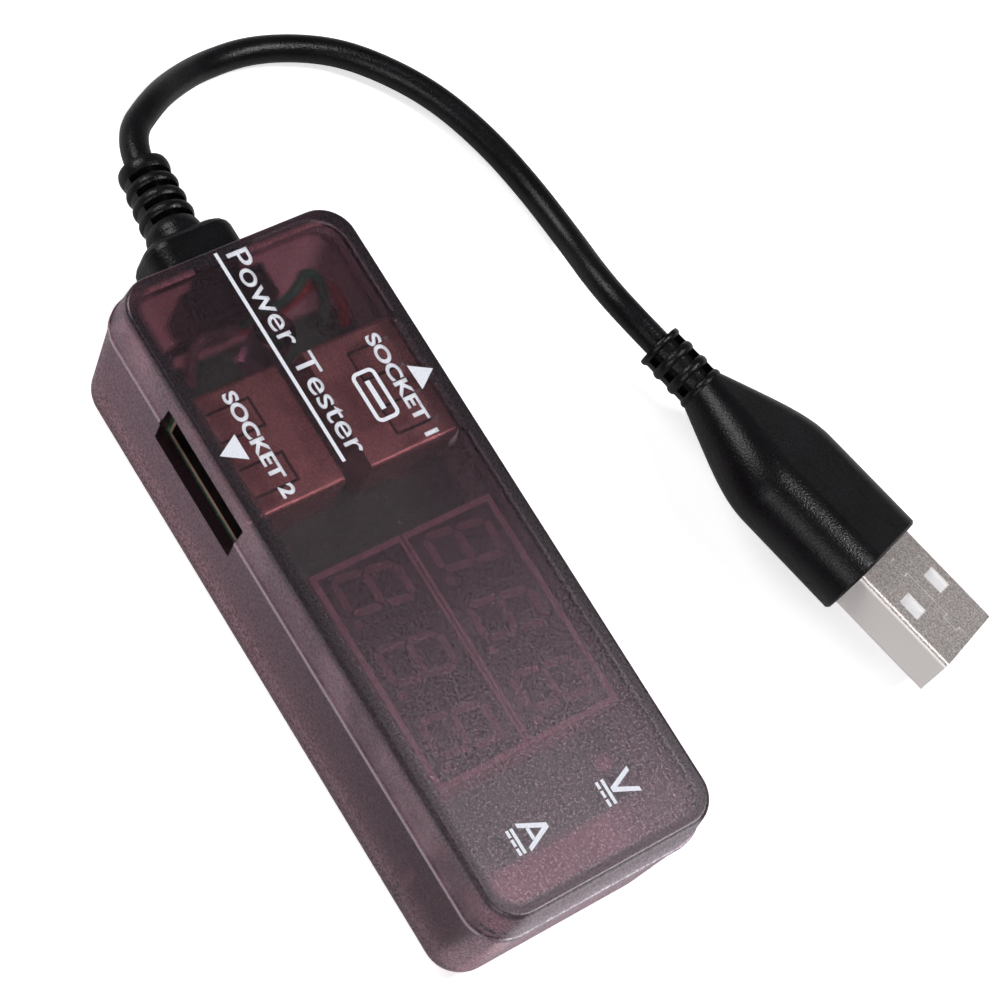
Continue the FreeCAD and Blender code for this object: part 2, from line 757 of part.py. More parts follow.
def make_strain_relief():
    """Collar outside the wall, neck in the notch, retention block inside, and a ribbed taper."""
    wall_x = -D.case_length.value / 2
    inner_x = wall_x + D.wall.value
    z = D.relief_height.value
    root_x = wall_x - 0.06
    end_x = wall_x - D.collar_length.value
    sections = [block_section(root_x, D.collar_width.value, D.collar_height.value, COLLAR_RADIUS, z)]
    for turn in (0, 22.5, 45, 67.5, 85):
        inward = COLLAR_EDGE * (1 - math.cos(math.radians(turn)))
        x = end_x + COLLAR_EDGE * (1 - math.sin(math.radians(turn)))
        width = D.collar_width.value - 2 * inward
        height = D.collar_height.value - 2 * inward
        sections.append(block_section(x, width, height, COLLAR_RADIUS - 0.4 * inward, z))
    collar = Part.makeLoft(sections, True, True)
    neck = block_between(root_x - 0.5, inner_x + 0.8, D.notch_width.value - NECK_CLEARANCE,
                         D.notch_depth.value - NECK_CLEARANCE, 1.1)
    block = block_between(inner_x + 0.6, inner_x + BLOCK_LENGTH, BLOCK_WIDTH, BLOCK_HEIGHT, 0.8)
    slot_starts = [1.5 + 1.85 * step for step in range(4)]
    taper = ribbed_relief(D.relief_length.value, D.relief_root_radius.value, D.relief_tip_radius.value,
                          slot_starts, 0.75, 2.15)
    stub = Part.makeCylinder(D.relief_root_radius.value, 1.4, Vector(0, 0, -1.4))
    taper = taper.fuse(stub)
    taper.Placement = relief_placement()
    whole = collar.fuse([neck, block, taper]).removeSplitter()
    return node(feature_of(whole, "strain_relief"), "strain_relief")


def relief_axis():
    heading = math.radians(D.relief_heading.value)
    droop = math.radians(D.relief_droop.value)
    level = math.cos(droop)
    return Vector(-math.cos(heading) * level, math.sin(heading) * level, -math.sin(droop))


def relief_placement():
    """The taper's local Z along the lead, local X up, so that its slots face up and down."""
    axis = relief_axis()
    side = Vector(0, 0, 1).cross(axis).normalize()
    root = Vector(-D.case_length.value / 2 - D.collar_length.value, 0, D.relief_height.value)
    return Placement(root, Rotation(side.cross(axis) * -1, side * -1, axis, "ZXY"))


def relief_tip():
    root = Vector(-D.case_length.value / 2 - D.collar_length.value, 0, D.relief_height.value)
    return root + relief_axis() * D.relief_length.value


# ---------------------------------------------------------------- plug

def plug_frame():
    """Plug's own frame: X out of the plug, Y across its width, Z out of its broad upper face."""
    heading = math.radians(D.plug_heading.value)
    tilt = math.radians(-D.plug_tilt.value)
    roll = math.radians(D.plug_roll.value)
    along = Vector(math.cos(heading) * math.cos(tilt), math.sin(heading) * math.cos(tilt), math.sin(tilt))
    side = Vector(0, 0, 1).cross(along).normalize()
    up = along.cross(side)
    across = side * math.cos(roll) + up * math.sin(roll)
    root = Vector(D.plug_root_x.value, D.plug_root_y.value, D.plug_root_height.value)
    return Placement(root, Rotation(along, across, along.cross(across), "XYZ"))


GRIP_STRAIGHT = 11.9
GRIP_EDGE = 0.25
# Width and thickness at evenly spaced places along the taper.
TAPER_SECTIONS = ((14.5, 7.95), (12.6, 7.45), (10.1, 6.75), (7.5, 5.9), (4.95, 4.9))
POCKET_STARTS = (0.75, 2.75, 4.75)
POCKET_LENGTH = 0.95
# Start, end and sideways offset of each run of the folded sheet's stepped seam.
SEAM_STEPS = ((-5.0, 1.1, 0.25), (1.1, 3.0, -0.55), (3.0, 8.6, 0.25),
              (8.6, 10.4, -0.55), (10.4, 12.1, 0.25))
SEAM_WIDTH = 0.16
SHELL_FOLD_RADIUS = 0.6


def make_plug_relief():
    """The ribbed tail of the overmould, with pockets on all four sides, along +Z."""
    radius = D.plug_relief_radius.value
    relief = ribbed_relief(D.plug_relief_length.value, radius, radius - 0.1,
                           POCKET_STARTS, POCKET_LENGTH, 1.1)
    pockets = [Part.makeBox(1.6, 12, POCKET_LENGTH, Vector(-0.8, -6, start)) for start in POCKET_STARTS]
    core = Part.makeCylinder(RELIEF_CORE_RADIUS, D.plug_relief_length.value)
    return relief.cut(Part.makeCompound(pockets).cut(core))


def make_plug_overmould(placement):
    body = new_body("plug_grip")
    grip = []
    for place, shrink in ((0.0, 2 * GRIP_EDGE), (-GRIP_EDGE, 0.0), (-GRIP_STRAIGHT, 0.1)):
        sketch = sketch_on(body, "grip_section", "YZ_Plane", place)
        width, thickness = D.grip_width - shrink, D.grip_thickness - shrink
        rounded_rectangle(sketch, width, thickness, thickness / 2 - 0.2)
        grip.append(sketch)
    loft(body, "AdditiveLoft", grip)
    taper = [grip[-1]]
    grip_end = (D.grip_length + D.taper_length).value
    step = (grip_end - GRIP_STRAIGHT) / len(TAPER_SECTIONS)
    for count, (width, thickness) in enumerate(TAPER_SECTIONS, start=1):
        sketch = sketch_on(body, "taper_section", "YZ_Plane", -GRIP_STRAIGHT - count * step)
        rounded_rectangle(sketch, width, thickness, thickness / 2 - 0.1)
        taper.append(sketch)
    loft(body, "AdditiveLoft", taper, ruled=False)
    relief = make_plug_relief()
    relief.Placement = Placement(Vector(-grip_end, 0, 0), Rotation(Vector(0, 1, 0), -90))
    pocket_for_shell = box((0 - D.plug_buried, 1.0), about(0.0, D.plug_width), about(0.0, D.plug_thickness))
    overmould = cut(fuse([body, feature_of(relief, "plug_relief")]), pocket_for_shell)
    overmould.Placement = placement
    node(overmould, "plug_overmould")
    return placement.multVec(Vector(-grip_end - D.plug_relief_length.value, 0, 0))


def make_plug_shell(placement):
    half_w = D.plug_width / 2
    half_t = D.plug_thickness / 2
    gauge = D.sheet_thickness
    sleeve = rounded_box((0 - D.plug_buried, D.plug_exposed), (0 - half_w, half_w), (0 - half_t, half_t),
                         "x", SHELL_FOLD_RADIUS)
    cuts = [box((0.4 - D.plug_buried, D.plug_exposed + 1), (gauge - half_w, half_w - gauge),
                (gauge - half_t, half_t - gauge))]
    window_range = about(D.plug_exposed - 6.4, D.plug_window_length)
    for sign in (1, -1):
        across = about(sign * D.plug_window_spacing / 2, D.plug_window_width)
        cuts.append(box(window_range, across, (-4.0, 4.0)))
    seam_level = (half_t - gauge - 0.1, half_t + 0.1)
    offsets = [offset for start, end, offset in SEAM_STEPS]
    crossing = (min(offsets) - SEAM_WIDTH / 2, max(offsets) + SEAM_WIDTH / 2)
    for start, end, offset in SEAM_STEPS:
        cuts.append(box((start, end), about(offset, SEAM_WIDTH), seam_level))
    for start, end, offset in SEAM_STEPS[1:]:
        cuts.append(box(about(start, SEAM_WIDTH), crossing, seam_level))
    shell = cut(sleeve, fuse(cuts))
    shell.Placement = placement
    node(shell, "plug_shell")


def make_plug_core(placement):
    """The insulating blade behind the sheet's seam side, and the four contacts on its other face."""
    half_w = D.plug_width / 2
    half_t = D.plug_thickness / 2
    gauge = D.sheet_thickness
    back = 0.4 - D.plug_buried
    level = (0.0 - CONTACT_THICKNESS, 0.0)
    contacts = group([box((back, 11.0), about(offset, 1.0), level) for offset in CONTACT_OFFSETS])
    contacts.Placement = placement
    node(contacts, "plug_contacts")
    inner_width = (gauge - half_w, half_w - gauge)
    blade = box((back, D.plug_exposed - 0.4), inner_width, (0.0, half_t - gauge))
    rear = box((back, 0.0), inner_width, (gauge - half_t, 0.0))
    grooves = [box((0.0 - D.plug_buried, 1.0), about(offset, 1.0), level) for offset in CONTACT_OFFSETS]
    insulator = cut(fuse([blade, rear]), fuse(grooves))
    insulator.Placement = placement
    node(insulator, "plug_insulator")


# Centre of the cord from the case's relief to the plug's relief: it leaves the case drooping,
# turns back on the table, runs past the case and rises into the plug.
CORD_BENDS = (
    (-51.908, 2.499, 8.19),
    (-55.0, 5.2, 6.6),
    (-57.15, 9.6, 4.25),
    (-58.9, 15.4, 2.1),
    (-59.4, 22.4, 1.5),
    (-57.65, 29.1, 1.5),
    (-53.35, 34.8, 1.5),
    (-47.6, 38.75, 1.5),
    (-40.9, 41.3, 1.5),
    (-33.8, 42.8, 1.5),
    (-26.6, 42.2, 2.9),
    (-20.6, 40.8, 5.5),
    (-15.874, 40.752, 6.679),
)

# The four conductors, from the end of the jacket to their pads on the board.
WIRE_ROUTES = {
    "wire_green": ((-28.6, 0.6, 11.1), (-28.0, 2.6, 12.8), (-28.3, 5.4, 14.3), (-29.9, 7.6, 14.3),
                   (-28.9, 9.0, 13.6), (-26.9, 8.6, 12.2), (-25.2, 7.7, 11.47)),
    "wire_red": ((-28.6, 0.6, 9.9), (-28.2, 2.6, 10.8), (-28.3, 5.0, 11.9), (-29.2, 8.4, 12.4),
                 (-28.2, 10.1, 12.7), (-26.2, 10.4, 12.2), (-24.3, 9.7, 11.47)),
    "wire_white": ((-28.6, -0.6, 11.1), (-28.0, -2.8, 12.6), (-28.0, -5.0, 13.2), (-26.8, -6.8, 12.5),
                   (-24.6, -7.6, 11.47)),
    "wire_black": ((-28.6, -0.6, 9.9), (-28.3, -2.9, 10.6), (-28.6, -5.8, 11.6), (-28.2, -8.2, 12.3),
                   (-26.6, -9.6, 12.1), (-24.5, -9.9, 11.47)),
}


def make_cord(plug_entry):
    start = relief_tip()
    route = ((start.x, start.y, start.z),) + CORD_BENDS + ((plug_entry.x, plug_entry.y, plug_entry.z),)
    print("cord route ends:", [round(v, 3) for v in route[0]], [round(v, 3) for v in route[-1]])
    make_tube("cord", route, D.cord_diameter)


def make_cord_inner_end(wires):
    """The last of the jacket, where the conductors fan out behind the retention block."""
    block_end = D.wall.value + BLOCK_LENGTH - D.case_length.value / 2
    stub = Part.makeCylinder(D.cord_diameter.value / 2, 0.6, Vector(block_end, 0, D.relief_height.value),
                             Vector(1, 0, 0))
    for wire in wires:
        stub = stub.cut(wire.Shape)
    node(feature_of(stub, "cord_inner_end"), "cord_inner_end")


def check_document():
    """Every object recomputed without an error, and every sub-part a valid, closed shape."""
    doc.recompute()
    for item in doc.Objects:
        if "Invalid" in item.State or "Error" in item.State:
            raise ValueError(item.Name + " failed: " + str(item.State))
    for item in NODES:
        if item.Shape.isNull() or not item.Shape.isValid() or item.Shape.Volume <= 0:
            raise ValueError(item.Label + " has no valid shape")


def export_nodes():
    os.makedirs("parts", exist_ok=True)
    for item in NODES:
        item.Shape.exportStep("parts/" + item.Label + ".step")
        limits = item.Shape.BoundBox
        print("%-24s %2d solids  volume %8.2f  x %7.2f %7.2f  y %7.2f %7.2f  z %6.2f %6.2f"
              % (item.Label, len(item.Shape.Solids), item.Shape.Volume, limits.XMin, limits.XMax,
                 limits.YMin, limits.YMax, limits.ZMin, limits.ZMax))


make_bottom_shell()
make_top_shell()
make_circuit_board()
make_board_components()
make_socket(1, 1)
make_socket(2, -1)
make_display("voltmeter", 1)
make_display("ammeter", -1)
make_strain_relief()
make_cord_inner_end([make_tube(wire, route, D.wire_diameter) for wire, route in WIRE_ROUTES.items()])
placement = plug_frame()
make_cord(make_plug_overmould(placement))
make_plug_shell(placement)
make_plug_core(placement)
check_document()
export_nodes()
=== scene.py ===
import math

import bmesh
import bpy
from mathutils import Matrix, Vector


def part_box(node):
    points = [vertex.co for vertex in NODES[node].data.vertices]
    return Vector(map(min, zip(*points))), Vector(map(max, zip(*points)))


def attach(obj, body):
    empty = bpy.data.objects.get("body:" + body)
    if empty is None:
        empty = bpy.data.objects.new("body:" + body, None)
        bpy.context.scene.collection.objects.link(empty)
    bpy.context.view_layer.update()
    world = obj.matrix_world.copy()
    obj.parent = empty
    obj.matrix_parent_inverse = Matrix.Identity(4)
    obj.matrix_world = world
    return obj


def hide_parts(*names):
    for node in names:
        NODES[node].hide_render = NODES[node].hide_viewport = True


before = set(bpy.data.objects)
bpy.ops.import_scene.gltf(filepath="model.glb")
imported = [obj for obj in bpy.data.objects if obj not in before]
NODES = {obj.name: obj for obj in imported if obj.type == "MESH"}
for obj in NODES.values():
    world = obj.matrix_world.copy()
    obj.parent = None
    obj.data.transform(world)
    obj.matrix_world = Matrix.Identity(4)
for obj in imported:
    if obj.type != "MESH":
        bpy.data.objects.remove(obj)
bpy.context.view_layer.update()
MM = 0.001


def mm(*values):
    """A vector given in millimetres, in metres."""
    return Vector(values) * MM


# ---------------------------------------------------------------- camera

CAMERA_AZIMUTH = math.radians(24.093)
CAMERA_ELEVATION = math.radians(58.188)
CAMERA_ROLL = math.radians(36.887)
CAMERA_DISTANCE = 306.076 * MM
CAMERA_TARGET = mm(-3.085, 15.303, 9.5)
SENSOR = 36.0
LENS = 116.1


def make_camera():
    """The photo's viewpoint: an azimuth and elevation round a target, then a roll."""
    flat = math.cos(CAMERA_ELEVATION)
    back = Vector((math.sin(CAMERA_AZIMUTH) * flat, -math.cos(CAMERA_AZIMUTH) * flat,
                   math.sin(CAMERA_ELEVATION)))
    right = (-back).cross(Vector((0, 0, 1))).normalized()
    up = back.cross(right)
    cosine, sine = math.cos(CAMERA_ROLL), math.sin(CAMERA_ROLL)
    rolled_right = right * cosine + up * sine
    rolled_up = up * cosine - right * sine
    data = bpy.data.cameras.new("camera")
    data.lens = LENS
    data.sensor_width = SENSOR
    data.clip_start = 0.01
    data.clip_end = 20
    camera = bpy.data.objects.new("camera", data)
    axes = Matrix((rolled_right, rolled_up, back)).transposed().to_4x4()
    camera.matrix_world = Matrix.Translation(CAMERA_TARGET + back * CAMERA_DISTANCE) @ axes
    bpy.context.scene.collection.objects.link(camera)
    bpy.context.scene.camera = camera


make_camera()

# ---------------------------------------------------------------- cord

CORD_DIAMETER = 2.9 * MM
# Places along the lead, in millimetres, from the case's relief to the plug's. They start from the CAD
# model's route and follow the photo's bends a little closer.
CORD_ROUTE = (
    (-47.944, 1.729, 8.902),
    (-51.908, 2.499, 8.19),
    (-55.28, 7.72, 6.6),
    (-57.47, 12.22, 4.25),
    (-59.09, 17.31, 2.1),
    (-59.19, 23.61, 1.5),
    (-56.71, 30.14, 1.5),
    (-53.29, 34.44, 1.5),
    (-47.55, 38.73, 1.5),
    (-40.84, 41.21, 1.5),
    (-34.24, 42.45, 1.5),
    (-26.6, 42.2, 2.9),
    (-20.6, 40.8, 5.5),
    (-15.874, 40.752, 6.679),
    (-11.421, 41.895, 6.518),
)


def add(name, data, slot, *replaced):
    """Link a new piece, let it ride on the one body, and hide the parts it replaces. The slot is not used."""
    piece = bpy.data.objects.new(name, data)
    bpy.context.scene.collection.objects.link(piece)
    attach(piece, "root")
    if replaced:
        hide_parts(*replaced)
    return piece


def make_cord():
    """The lead as one open spline. Its points carry the radius, so the bevel is one unit deep."""
    curve = bpy.data.curves.new("lead", "CURVE")
    curve.dimensions = "3D"
    spline = curve.splines.new("NURBS")
    spline.points.add(len(CORD_ROUTE) - 1)
    for point, place in zip(spline.points, CORD_ROUTE):
        point.co = (*mm(*place), 1.0)
        point.radius = CORD_DIAMETER / 2
    spline.order_u = 3
    spline.use_endpoint_u = True
    curve.resolution_u = 24
    curve.bevel_depth = 1.0
    curve.bevel_resolution = 10
    curve.use_fill_caps = True
    return add("lead", curve, "cord_pvc", "cord")


lead = make_cord()

# ---------------------------------------------------------------- node helpers


class Nodes:
    """A material's node tree, with short ways to add and wire nodes."""

    def __init__(self, name):
        self.material = bpy.data.materials.new(name)
        self.material.use_nodes = True
        self.tree = self.material.node_tree
        self.tree.nodes.clear()
        self.output = self.tree.nodes.new("ShaderNodeOutputMaterial")
        self.coords = self.tree.nodes.new("ShaderNodeTexCoord").outputs["Object"]

    def add(self, kind, **inputs):
        """A node with named inputs set: a value is a constant, and a socket is wired."""
        made = self.tree.nodes.new("ShaderNode" + kind)
        for name, value in inputs.items():
            self.put(made, name.replace("_", " "), value)
        return made

    def put(self, made, name, value):
        socket = made.inputs[name]
        if isinstance(value, bpy.types.NodeSocket):
            self.tree.links.new(value, socket)
        else:
            socket.default_value = value

    def mapped(self, scale):
        """Object coordinates, in metres, stretched by a factor or by three of them."""
        made = self.tree.nodes.new("ShaderNodeMapping")
        made.inputs["Scale"].default_value = scale if isinstance(scale, tuple) else (scale,) * 3
        self.tree.links.new(self.coords, made.inputs["Vector"])
        return made.outputs[0]

    def noise(self, scale, detail=2.0, roughness=0.5):
        made = self.add("TexNoise", Scale=1.0, Detail=detail, Roughness=roughness)
        self.tree.links.new(self.mapped(scale), made.inputs["Vector"])
        return made.outputs["Fac"]

    def ramp(self, factor, *stops):
        """A colour ramp through (place, colour) stops. A number is a grey."""
        made = self.tree.nodes.new("ShaderNodeValToRGB")
        elements = made.color_ramp.elements
        while len(elements) < len(stops):
            elements.new(0.5)
        for element, (place, colour) in zip(elements, stops):
            element.position = place
            element.color = (*colour, 1.0) if isinstance(colour, tuple) else (colour,) * 3 + (1.0,)
        self.tree.links.new(factor, made.inputs["Fac"])
        return made.outputs["Color"]

    def math(self, operation, a, b=0.0, clamp=False):
        made = self.tree.nodes.new("ShaderNodeMath")
        made.operation = operation
        made.use_clamp = clamp
        for index, value in enumerate((a, b)):
            if isinstance(value, bpy.types.NodeSocket):
                self.tree.links.new(value, made.inputs[index])
            else:
                made.inputs[index].default_value = value
        return made.outputs[0]

    def mix(self, factor, a, b):
        """Blend two colours."""
        made = self.tree.nodes.new("ShaderNodeMix")
        made.data_type = "RGBA"
        for index, value in ((0, factor), (6, a), (7, b)):
            if isinstance(value, bpy.types.NodeSocket):
                self.tree.links.new(value, made.inputs[index])
            else:
                made.inputs[index].default_value = (*value, 1.0) if isinstance(value, tuple) else value
        return made.outputs[2]

    def inverse(self, mask):
        return self.math("SUBTRACT", 1.0, mask)

    def axis(self, name):
        made = self.tree.nodes.new("ShaderNodeSeparateXYZ")
        self.tree.links.new(self.coords, made.inputs[0])
        return made.outputs[name]

    def span(self, value, low, high, soft):
        """1 between two places on an axis and 0 outside them, with soft edges, all in metres."""
        rise = self.tree.nodes.new("ShaderNodeMapRange")
        fall = self.tree.nodes.new("ShaderNodeMapRange")
        for made, start, end in ((rise, low - soft, low + soft), (fall, high + soft, high - soft)):
            made.interpolation_type = "SMOOTHSTEP"
            made.inputs["From Min"].default_value = start
            made.inputs["From Max"].default_value = end
            self.tree.links.new(value, made.inputs["Value"])
        return self.math("MULTIPLY", rise.outputs[0], fall.outputs[0])

    def step(self, value, edge, soft):
        """0 below an edge and 1 above it, in metres."""
        made = self.tree.nodes.new("ShaderNodeMapRange")
        made.interpolation_type = "SMOOTHSTEP"
        made.inputs["From Min"].default_value = edge - soft
        made.inputs["From Max"].default_value = edge + soft
        self.tree.links.new(value, made.inputs["Value"])
        return made.outputs[0]

    def bump(self, height, strength, distance):
        made = self.add("Bump", Height=height, Strength=strength, Distance=distance)
        return made.outputs["Normal"]

    def blend(self, factor, a, b):
        """Blend two shaders."""
        made = self.tree.nodes.new("ShaderNodeMixShader")
        if isinstance(factor, bpy.types.NodeSocket):
            self.tree.links.new(factor, made.inputs[0])
        else:
            made.inputs[0].default_value = factor
        self.tree.links.new(a.outputs[0], made.inputs[1])
        self.tree.links.new(b.outputs[0], made.inputs[2])
        return made

    def finish(self, shader):
        self.tree.links.new(shader.outputs[0], self.output.inputs["Surface"])
        return self.material


def paint(material, *objects):
    for item in objects:
        piece = NODES[item] if isinstance(item, str) else item
        piece.data.materials.clear()
        piece.data.materials.append(material)


# ---------------------------------------------------------------- materials

def rounded_outline(m, half_x, half_y, radius):
    """How far a point is outside a rounded rectangle about the case's middle, in metres."""
    past_x = m.math("SUBTRACT", m.math("ABSOLUTE", m.axis("X")), half_x - radius)
    past_y = m.math("SUBTRACT", m.math("ABSOLUTE", m.axis("Y")), half_y - radius)
    past_x = m.math("MAXIMUM", past_x, 0.0)
    past_y = m.math("MAXIMUM", past_y, 0.0)
    square = m.math("ADD", m.math("MULTIPLY", past_x, past_x), m.math("MULTIPLY", past_y, past_y))
    return m.math("SUBTRACT", m.math("POWER", square, 0.5), radius)


# Places on the shells, in metres.
INSIDE_HALF_LENGTH = 32.6 * MM
INSIDE_HALF_WIDTH = 11.1 * MM
INSIDE_RADIUS = 2.4 * MM
SLOT_ENDS = (-22.2 * MM, -8.8 * MM)
SLOT_HEIGHTS = (10.95 * MM, 16.5 * MM)
SLOT_DEPTH_FROM = 11.0 * MM
JOINT_RIDGE = (14.0 * MM, 14.5 * MM)


class ShellMasks:
    """Where a point of a shell lies. Each mask is 1 in its place and 0 elsewhere, with a soft edge."""

    def __init__(self, m):
        x, z = m.axis("X"), m.axis("Z")
        y = m.math("ABSOLUTE", m.axis("Y"))
        sharp = 0.05 * MM
        past_wall = rounded_outline(m, INSIDE_HALF_LENGTH, INSIDE_HALF_WIDTH, INSIDE_RADIUS)
        over_wall = m.step(past_wall, 0.0, 0.35 * MM)
        self.rim = m.math("MULTIPLY", over_wall, m.step(z, 18.3 * MM, 0.3 * MM))
        self.end_wall = m.step(x, 33.9 * MM, 0.4 * MM)
        below_rim = m.inverse(m.step(z, 18.2 * MM, 0.4 * MM))
        self.side = m.math("MULTIPLY", m.step(y, 12.3 * MM, 0.3 * MM), below_rim)
        # Painted shade along the sides, rising from the cable end to the display end.
        self.shade_toward_display_end = m.step(x, 5.0 * MM, 38.0 * MM)
        # Painted light and shade, rising from the cable end to the display end.
        self.display_end_light_and_shade = m.step(x, 14.0 * MM, 26.0 * MM)
        # Painted light: the upper band of the side, above the joint.
        self.lit_upper_band = m.step(z, 14.2 * MM, 0.15 * MM)
        # Painted highlight along the joint.
        self.ridge = m.span(z, *JOINT_RIDGE, 0.12 * MM)
        # Painted shade toward the bottom of the sides.
        self.shade_low_edge = m.inverse(m.step(z, 3.4 * MM, 1.6 * MM))
        slot = m.math("MULTIPLY", m.span(x, *SLOT_ENDS, sharp), m.span(z, *SLOT_HEIGHTS, sharp))
        self.cut_face = m.math("MULTIPLY", slot, m.step(y, SLOT_DEPTH_FROM, sharp))
        self.deep = m.inverse(m.step(y, 11.0 * MM, 0.3 * MM))


def haze_colour(m, at, grain, cloud, milk):
    """The milky part's colour: grained over the inside, darker over the wall, and mauve down the sides.
    Painted light makes the inside and the rim paler toward the display end, and a painted highlight makes the
    end wall pale. Down the sides, painted light lifts the upper band and the joint line, and painted shade
    darkens them toward the display end and toward the bottom.
    """
    # Painted light: the haze and the rim are paler toward the display end.
    def painted_light_toward_display(near_cable, near_display):
        return m.mix(at.display_end_light_and_shade, near_cable, near_display)

    milky = m.mix(grain, painted_light_toward_display((0.006, 0.004, 0.005), (0.12, 0.100, 0.115)),
                  painted_light_toward_display(milk, (0.51, 0.43, 0.49)))
    solid = m.mix(grain, painted_light_toward_display((0.008, 0.005, 0.008), (0.050, 0.034, 0.044)),
                  painted_light_toward_display((0.020, 0.013, 0.019), (0.095, 0.066, 0.085)))
    # Painted shade: the sides darken toward the display end.
    mauve = m.mix(at.shade_toward_display_end, m.mix(grain, (0.20, 0.112, 0.146), (0.26, 0.154, 0.196)),
                  m.mix(grain, (0.034, 0.016, 0.024), (0.056, 0.029, 0.041)))
    # Painted light in soft patches over the upper band.
    painted_light_patches = m.math("ADD", m.math("MULTIPLY", m.step(cloud, 0.52, 0.12), 0.5), 0.35)
    mauve = m.mix(m.math("MULTIPLY", at.lit_upper_band, painted_light_patches), mauve, (0.42, 0.27, 0.32))
    # Painted shade: darker toward the bottom, where the case curves under.
    mauve = m.mix(m.math("MULTIPLY", at.shade_low_edge, 0.6), mauve, (0.020, 0.012, 0.018))
    # Painted highlight: a pale line along the joint.
    mauve = m.mix(m.math("MULTIPLY", at.ridge, 0.9), mauve, (0.80, 0.64, 0.72))
    # Painted highlight: the end wall at the display end is pale, as a painted reflection.
    pale = m.mix(grain, (0.57, 0.53, 0.57), (0.87, 0.83, 0.88))
    colour = m.mix(at.side, m.mix(at.rim, milky, solid), mauve)
    colour = m.mix(at.end_wall, colour, pale)
    return m.mix(at.cut_face, colour, (0.014, 0.006, 0.008))


def haze_cover(m, at, grain, least_cover):
    """How much of the clear body the haze hides."""
    cover = m.math("ADD", m.math("MULTIPLY", grain, 0.20), least_cover)
    cover = m.math("ADD", cover, m.math("MULTIPLY", at.rim, 0.55))
    # The end wall and the sides show more of the haze, and with it their painted light and shade.
    cover = m.math("ADD", cover, m.math("MULTIPLY", m.math("MAXIMUM", at.end_wall, at.side), 0.42))
    return m.math("ADD", cover, m.math("MULTIPLY", at.cut_face, 0.6), clamp=True)


def clear_body(m, fine, cloud, shade):
    """The smoke-tinted body: it blurs what is behind it, but shadow and diffuse rays go straight through."""
    low_tint = tuple(part * shade for part in (0.80, 0.66, 0.71))
    high_tint = tuple(part * shade for part in (0.86, 0.72, 0.77))
    tint = m.mix(cloud, low_tint, high_tint)
    glass = m.add("BsdfRefraction", Color=tint, Roughness=0.20, IOR=1.45,
                  Normal=m.bump(fine, strength=0.25, distance=0.05 * MM))
    clear = m.add("BsdfTransparent", Color=tint)
    path = m.tree.nodes.new("ShaderNodeLightPath")
    through = m.math("MAXIMUM", path.outputs["Is Shadow Ray"], path.outputs["Is Diffuse Ray"])
    return m.blend(through, glass, clear)


def grained_gloss(m, at, grain, frost):
    """The surface reflection, brighter on the grain. Painted shade dims it on the rim at the display end and
    down the sides toward the display end.
    """
    sparkle = m.mix(grain, (0.42, 0.34, 0.40), (1.0, 0.87, 0.97))
    # Painted shade: the reflection is dimmed there.
    dull = m.math("MAXIMUM", m.math("MULTIPLY", at.rim, at.display_end_light_and_shade),
                  m.math("MULTIPLY", at.side, at.shade_toward_display_end))
    sparkle = m.mix(m.math("MULTIPLY", dull, 0.65), sparkle, (0.16, 0.12, 0.15))
    gloss = m.add("BsdfGlossy", Color=sparkle, Roughness=0.31, Normal=frost)
    gloss.distribution = "BECKMANN"
    return gloss


def smoke_plastic(name, shade, milk, least_cover, glow):
    """Frosted smoke-tinted plastic: a clear body that blurs what is behind it, under a milky grain.

    Where the lid lies over the wall it is many times as thick seen from above, so its rim is a dark band.
    The glow stands for light that comes up through the base.
    """
    m = Nodes(name)
    fine = m.noise(4000.0, detail=2.0, roughness=0.65)
    cloud = m.noise(160.0, detail=3.0)
    grain = m.ramp(fine, (0.36, 0.0), (0.64, 1.0))
    frost = m.bump(fine, strength=0.15, distance=0.06 * MM)
    at = ShellMasks(m)
    haze = m.add("BsdfPrincipled", Base_Color=haze_colour(m, at, grain, cloud, milk), IOR=1.5, Normal=frost,
                 Roughness=m.math("ADD", m.math("MULTIPLY", fine, 0.12), 0.30),
                 Emission_Color=m.mix(at.deep, (0.0, 0.0, 0.0), (1.0, 0.52, 0.56)), Emission_Strength=glow)
    under = m.blend(haze_cover(m, at, grain, least_cover), clear_body(m, fine, cloud, shade), haze)
    mirror = m.add("Fresnel", IOR=1.45, Normal=frost)
    return m.finish(m.blend(mirror.outputs[0], under, grained_gloss(m, at, grain, frost)))


def satin_black():
    """Black PVC with a faint moulded grain."""
    m = Nodes("satin_black_pvc")
    fine = m.noise(5200.0, detail=2.0)
    wide = m.noise(260.0, detail=3.0)
    colour = m.ramp(wide, (0.3, (0.002, 0.002, 0.0025)), (0.75, (0.006, 0.0055, 0.007)))
    rough = m.math("ADD", m.math("MULTIPLY", fine, 0.12), 0.23)
    shader = m.add("BsdfPrincipled", Base_Color=colour, Roughness=rough, IOR=1.36,
                   Normal=m.bump(fine, strength=0.75, distance=0.06 * MM))
    return m.finish(shader)


